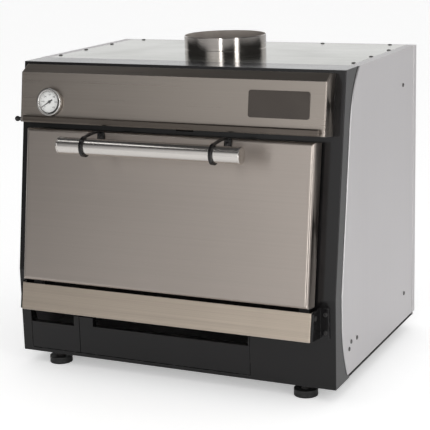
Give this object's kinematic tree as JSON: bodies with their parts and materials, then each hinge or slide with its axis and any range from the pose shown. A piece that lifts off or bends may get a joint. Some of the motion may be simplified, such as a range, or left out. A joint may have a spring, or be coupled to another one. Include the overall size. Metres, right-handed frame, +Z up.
{
  "type": "charcoal oven",
  "caption": "Tabletop charcoal oven with a leaning front, bottom-hinged stainless door, tube handle, dial thermometer, flue collar, drip skirt, ash drawer and levelling feet.",
  "frame": {"origin": "on the floor under the middle of the casing", "axes": "+Z up, the front with the door looks along -Y, +X is to the right of someone standing before it"},
  "size_m": [0.8814, 0.715, 0.8025],
  "materials": {
    "black_paint": "satin black paint over folded sheet",
    "grey_steel": "light grey satin sheet",
    "polished_top": "bright smooth sheet",
    "brushed_steel": "brushed stainless sheet",
    "warm_steel": "brushed stainless, slightly warm",
    "polished_steel": "polished stainless",
    "handle_steel": "finely brushed tube",
    "plain_steel": "plain mill finish",
    "grid_steel": "used grid bars",
    "fire_steel": "heat-darkened plate",
    "cast_iron": "rough casting",
    "dark_steel": "blackened steel",
    "zinc_screws": "plain screw heads",
    "dark_plate": "dark satin plate, left blank",
    "white_enamel": "white dial face",
    "black_needle": "black pointer",
    "dial_glass": "clear flat glass",
    "fibre_blanket": "ceramic fibre blanket",
    "rope_gasket": "woven heat-proof rope",
    "black_plastic": "black moulded plastic"
  },
  "bodies": {
    "casing": {"front_frame": "black_paint", "side_panel_left": "grey_steel", "side_panel_right": "grey_steel", "top_panel": "polished_top", "back_panel": "grey_steel", "bottom_pan": "black_paint", "foot_pads": "black_plastic", "foot_studs": "dark_steel", "fascia_panel": "brushed_steel", "fascia_lip": "brushed_steel", "blank_plate": "dark_plate", "thermometer_bezel": "polished_steel", "thermometer_dial": "white_enamel", "thermometer_glass": "dial_glass", "thermometer_stem": "plain_steel", "flue_collar": "polished_steel", "flue_throat": "plain_steel", "chamber_floor": "fire_steel", "chamber_roof": "fire_steel", "chamber_rear": "fire_steel", "chamber_side_right": "fire_steel", "chamber_side_left": "fire_steel", "mouth_frame": "fire_steel", "insulation": "fibre_blanket", "ash_chute": "fire_steel", "charcoal_grate": "cast_iron", "grid_rails": "fire_steel", "drip_skirt": "warm_steel", "hinge_rod": "dark_steel", "hinge_bracket_right": "black_paint", "hinge_bracket_left": "black_paint", "frame_screws": "dark_steel", "drawer_runners": "plain_steel", "side_screws": "zinc_screws", "top_screws": "zinc_screws"},
    "door": {"door_skin": "brushed_steel", "door_liner": "fire_steel", "door_insulation": "fibre_blanket", "door_gasket": "rope_gasket", "hinge_ears": "dark_steel", "handle_tube": "handle_steel", "handle_end_caps": "handle_steel", "handle_bracket_right": "black_paint", "handle_bracket_left": "black_paint", "bracket_bolts": "dark_steel"},
    "needle": {"thermometer_needle": "black_needle"},
    "ash_drawer": {"ash_drawer_front": "black_paint", "ash_drawer_tray": "plain_steel"},
    "draught": {"draught_front": "black_paint", "draught_tray": "plain_steel"},
    "damper": {"damper_knob": "black_plastic", "damper_rod": "plain_steel", "damper_blade": "fire_steel"},
    "grid": {"cooking_grid": "grid_steel"}
  },
  "joints": [
    {"name": "door_hinge", "type": "hinge", "parent": "casing", "child": "door", "pos_m": [0, -0.345, 0.214], "axis": [1, 0, 0], "range_deg": [0, 99]},
    {"name": "needle_turn", "type": "hinge", "parent": "casing", "child": "needle", "pos_m": [-0.311, -0.29754, 0.66972], "axis": [0, -0.9877, 0.1563], "range_deg": [-270, 0]},
    {"name": "ash_drawer_slide", "type": "slide", "parent": "casing", "child": "ash_drawer", "axis": [0, -1, 0], "range_m": [0, 0.35]},
    {"name": "draught_slide", "type": "slide", "parent": "casing", "child": "draught", "axis": [0, -1, 0], "range_m": [0, 0.1]},
    {"name": "damper_slide", "type": "slide", "parent": "casing", "child": "damper", "axis": [-1, 0, 0], "range_m": [0, 0.06]},
    {"name": "grid_slide", "type": "slide", "parent": "casing", "child": "grid", "axis": [0, -1, 0], "range_m": [0, 0.05]}
  ]
}
